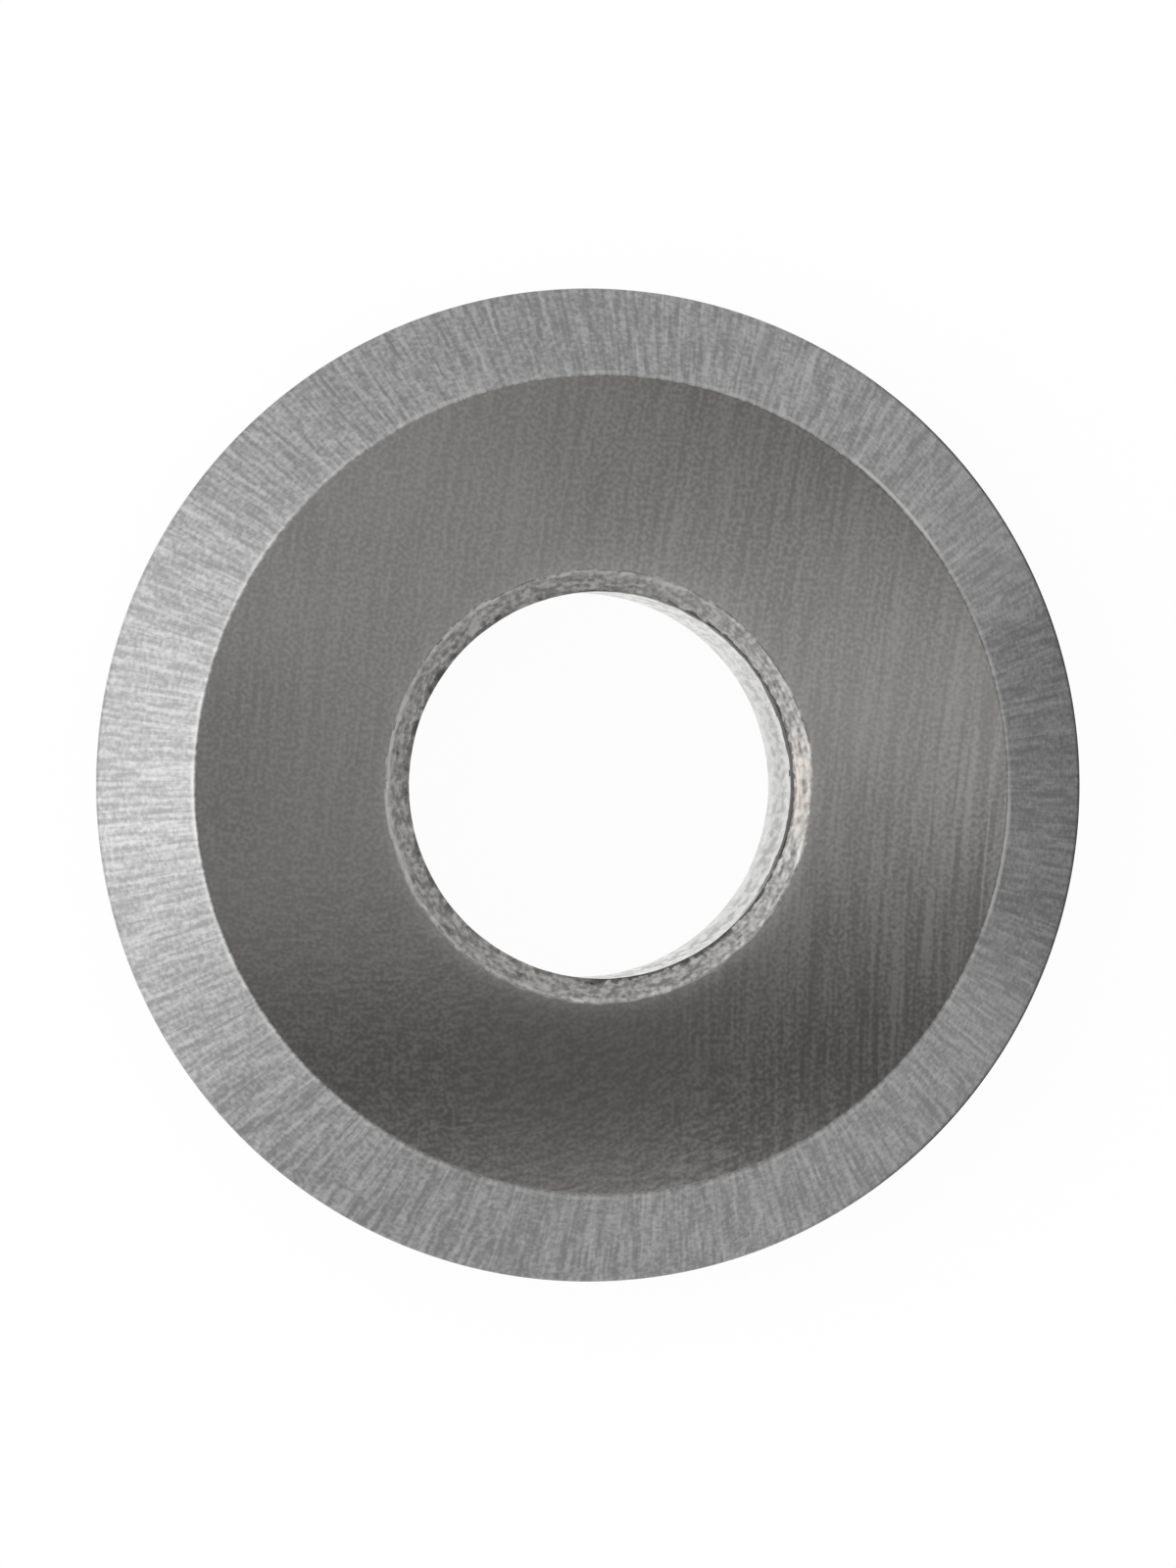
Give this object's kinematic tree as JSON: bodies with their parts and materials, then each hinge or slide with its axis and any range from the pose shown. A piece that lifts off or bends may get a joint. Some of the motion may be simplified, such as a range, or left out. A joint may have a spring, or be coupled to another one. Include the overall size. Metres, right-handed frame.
{
  "type": "tile cutter wheel",
  "caption": "Carbide scoring wheel with a double-bevelled cutting rim and a plain bore that spins on a pin, for snapping ceramic tile.",
  "frame": {"origin": "centre of the bore at half the wheel's thickness, which is the plane of the cutting edge", "axes": "+Z along the bore; the wheel lies flat on one side face, and +X and +Y are any two directions square to each other in its plane"},
  "size_m": [0.016, 0.016, 0.003],
  "materials": {
    "ground_carbide": "ground side faces and flanks with fine grinding lines; bore and its lead-in chamfers as sintered, grainy"
  },
  "bodies": {
    "root": {"cutting_wheel": "ground_carbide"}
  },
  "joints": []
}
